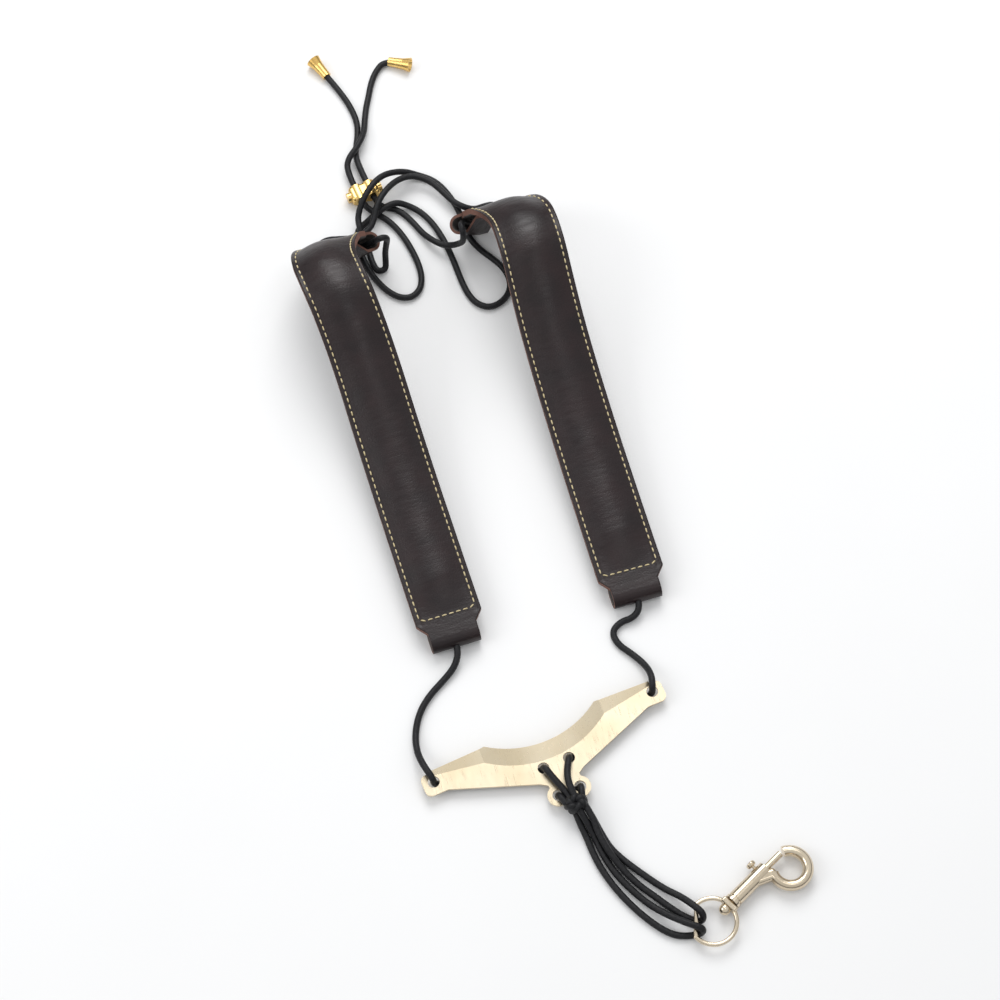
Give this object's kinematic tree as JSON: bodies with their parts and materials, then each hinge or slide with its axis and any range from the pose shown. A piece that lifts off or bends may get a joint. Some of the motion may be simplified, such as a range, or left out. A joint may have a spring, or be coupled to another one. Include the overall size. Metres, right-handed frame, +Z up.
{
  "type": "saxophone neck strap",
  "caption": "Padded leather harness strap with cord loops, a pressed metal yoke, a cord slider and a swivel hook with a sliding bolt.",
  "frame": {"origin": "on the table under the middle of the straps, yoke, slider and hook, cords left out", "axes": "+Y from the yoke and hook towards the wearer's back, +X towards the right-hand strap as it lies, +Z up from the table"},
  "size_m": [0.1882, 0.6087, 0.0559],
  "materials": {
    "dark_leather": "smooth, semi-gloss",
    "grey_leather": "matt suede",
    "foam": "matt",
    "thread": "waxed",
    "cord": "fine braid",
    "pale_gold": "satin, pale gold plated",
    "hook_metal": "polished, pale gold plated",
    "spring_steel": "bright",
    "brass": "polished"
  },
  "bodies": {
    "strap": {"outer_leather_left": "dark_leather", "foam_core_left": "foam", "backing_leather_left": "grey_leather", "stitching_left": "thread", "front_knot_left": "cord", "outer_leather_right": "dark_leather", "foam_core_right": "foam", "backing_leather_right": "grey_leather", "stitching_right": "thread", "front_knot_right": "cord", "yoke": "pale_gold", "front_cord_left": "cord", "front_cord_right": "cord", "yoke_loop": "cord", "hook_loop_left": "cord", "hook_loop_right": "cord", "rear_cord_right": "cord", "rear_cord_middle": "cord", "rear_cord_left": "cord", "hook_knot": "cord", "bell_left": "brass", "bell_right": "brass"},
    "slider": {"cord_slider": "brass"},
    "ring": {"d_ring": "hook_metal"},
    "hook": {"hook_body": "hook_metal", "bolt_spring": "spring_steel"},
    "bolt": {"hook_bolt": "hook_metal"}
  },
  "joints": [
    {"name": "slider_slide", "type": "slide", "parent": "strap", "child": "slider", "axis": [-0.1045, 0.9945, 0], "range_m": [0, 0.008]},
    {"name": "ring_swing", "type": "hinge", "parent": "strap", "child": "ring", "pos_m": [0.02356, -0.23843, 0.0053], "axis": [-0.342, -0.9397, 0], "range_deg": [0, 90]},
    {"name": "hook_swivel", "type": "hinge", "parent": "ring", "child": "hook", "pos_m": [0.032, -0.2415, 0.0053], "axis": [0.8862, 0.4633, 0], "continuous": true},
    {"name": "bolt_slide", "type": "slide", "parent": "hook", "child": "bolt", "axis": [-0.8862, -0.4633, 0], "range_m": [0, 0.0075], "stiffness_N_per_m": 150, "springref_m": -0.002, "deforming": ["bolt_spring"]}
  ]
}
